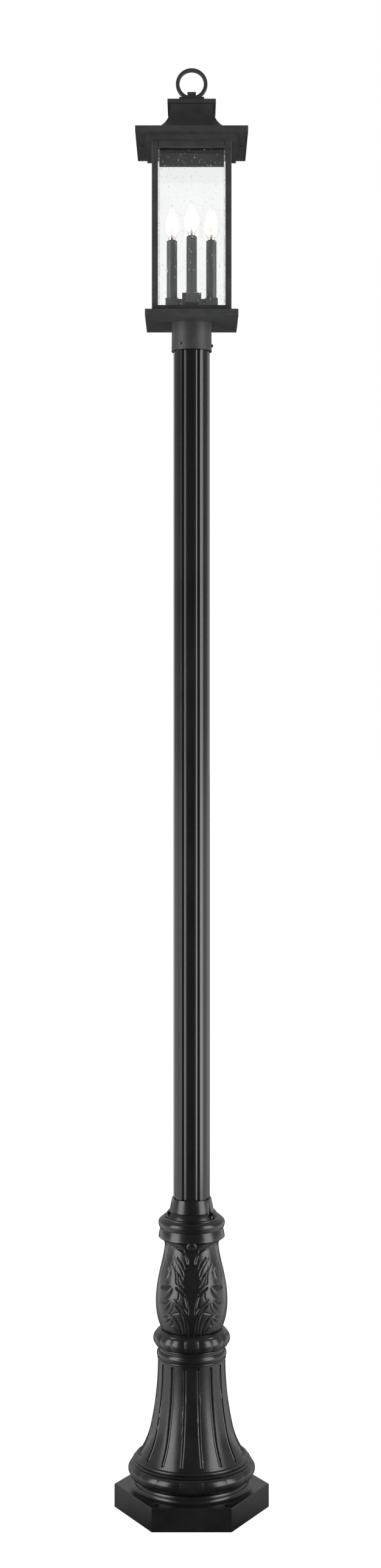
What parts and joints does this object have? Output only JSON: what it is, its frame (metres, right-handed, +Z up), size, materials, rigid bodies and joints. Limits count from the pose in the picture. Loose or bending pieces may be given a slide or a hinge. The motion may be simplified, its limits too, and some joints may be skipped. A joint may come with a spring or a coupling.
{
  "type": "post light",
  "caption": "Tall post light: a square glass lantern with candle bulbs on a fluted post, over a cast base with a leaf-carved vase, a fluted bell and a hexagonal foot.",
  "frame": {"origin": "centre of the hexagonal foot on the ground", "axes": "+Z up along the post; the front, a flat side of the foot and of the lantern, faces -Y; +X to the right seen from the front"},
  "size_m": [0.325, 0.282, 3.0263],
  "materials": {
    "base_paint": "satin black paint on cast aluminium",
    "post_paint": "semi-gloss black paint on aluminium tube",
    "lantern_paint": "fine-textured matte black powder coat",
    "bolt_black": "glossy black fastener",
    "steel": "zinc-plated steel",
    "brass": "plain brass",
    "seeded_glass": "clear glass with seeds",
    "bulb_glass": "clear thin glass",
    "bulb_metal": "nickel-plated shell",
    "candle_plastic": "matte black candle tube",
    "socket_plastic": "black moulded socket"
  },
  "bodies": {
    "post_base": {"hex_plinth": "base_paint", "foot_ring": "base_paint", "fluted_bell": "base_paint", "bell_bead": "base_paint", "gadroon_ring": "base_paint", "leaf_vase": "base_paint", "top_ring": "base_paint", "post_collar": "base_paint", "collar_bolts": "bolt_black", "foot_screws": "steel", "stack_screws": "steel", "fluted_post": "post_paint"},
    "lantern": {"fitter_sleeve": "lantern_paint", "base_plate": "lantern_paint", "bottom_rails": "lantern_paint", "top_rails": "lantern_paint", "corner_post_front_left": "lantern_paint", "corner_post_front_right": "lantern_paint", "corner_post_back_right": "lantern_paint", "corner_post_back_left": "lantern_paint", "glass_pane_front": "seeded_glass", "glass_pane_right": "seeded_glass", "glass_pane_back": "seeded_glass", "glass_pane_left": "seeded_glass", "glass_clips": "steel", "eaves_collar": "lantern_paint", "soffit_plate": "lantern_paint", "roof_screws": "bolt_black", "arm_hub": "lantern_paint", "hub_arms": "lantern_paint", "hub_nipple": "brass", "hub_nut": "brass", "ground_screw": "brass", "candle_cup_front": "lantern_paint", "candle_cup_right": "lantern_paint", "candle_cup_back": "lantern_paint", "candle_cup_left": "lantern_paint", "candle_sleeve_front": "candle_plastic", "candle_sleeve_right": "candle_plastic", "candle_sleeve_back": "candle_plastic", "candle_sleeve_left": "candle_plastic", "candle_sockets": "socket_plastic"},
    "roof": {"roof_shell": "lantern_paint", "cap_plate": "lantern_paint", "ring_foot": "lantern_paint", "finial_ring": "lantern_paint", "cap_screws": "steel"},
    "bulb_front": {"bulb_base_front": "bulb_metal", "bulb_glass_front": "bulb_glass"},
    "bulb_right": {"bulb_base_right": "bulb_metal", "bulb_glass_right": "bulb_glass"},
    "bulb_back": {"bulb_base_back": "bulb_metal", "bulb_glass_back": "bulb_glass"},
    "bulb_left": {"bulb_base_left": "bulb_metal", "bulb_glass_left": "bulb_glass"},
    "clamp_1": {"set_screw_1": "bolt_black"},
    "clamp_2": {"set_screw_2": "bolt_black"},
    "clamp_3": {"set_screw_3": "bolt_black"}
  },
  "joints": [
    {"name": "lantern_turn", "type": "hinge", "parent": "post_base", "child": "lantern", "pos_m": [0, 0, 2.4885], "axis": [0, 0, 1], "range_deg": [-180, 180]},
    {"name": "roof_lift", "type": "slide", "parent": "lantern", "child": "roof", "axis": [0, 0, 1], "range_m": [0, 0.15]},
    {"name": "bulb_front_out", "type": "slide", "parent": "lantern", "child": "bulb_front", "axis": [0, 0, 1], "range_m": [0, 0.022]},
    {"name": "bulb_right_out", "type": "slide", "parent": "lantern", "child": "bulb_right", "axis": [0, 0, 1], "range_m": [0, 0.022]},
    {"name": "bulb_back_out", "type": "slide", "parent": "lantern", "child": "bulb_back", "axis": [0, 0, 1], "range_m": [0, 0.022]},
    {"name": "bulb_left_out", "type": "slide", "parent": "lantern", "child": "bulb_left", "axis": [0, 0, 1], "range_m": [0, 0.022]},
    {"name": "set_screw_1_back", "type": "slide", "parent": "lantern", "child": "clamp_1", "axis": [-0.5592, -0.829, 0], "range_m": [0, 0.003]},
    {"name": "set_screw_2_back", "type": "slide", "parent": "lantern", "child": "clamp_2", "axis": [0.9976, -0.0698, 0], "range_m": [0, 0.003]},
    {"name": "set_screw_3_back", "type": "slide", "parent": "lantern", "child": "clamp_3", "axis": [-0.4384, 0.8988, 0], "range_m": [0, 0.003]}
  ]
}
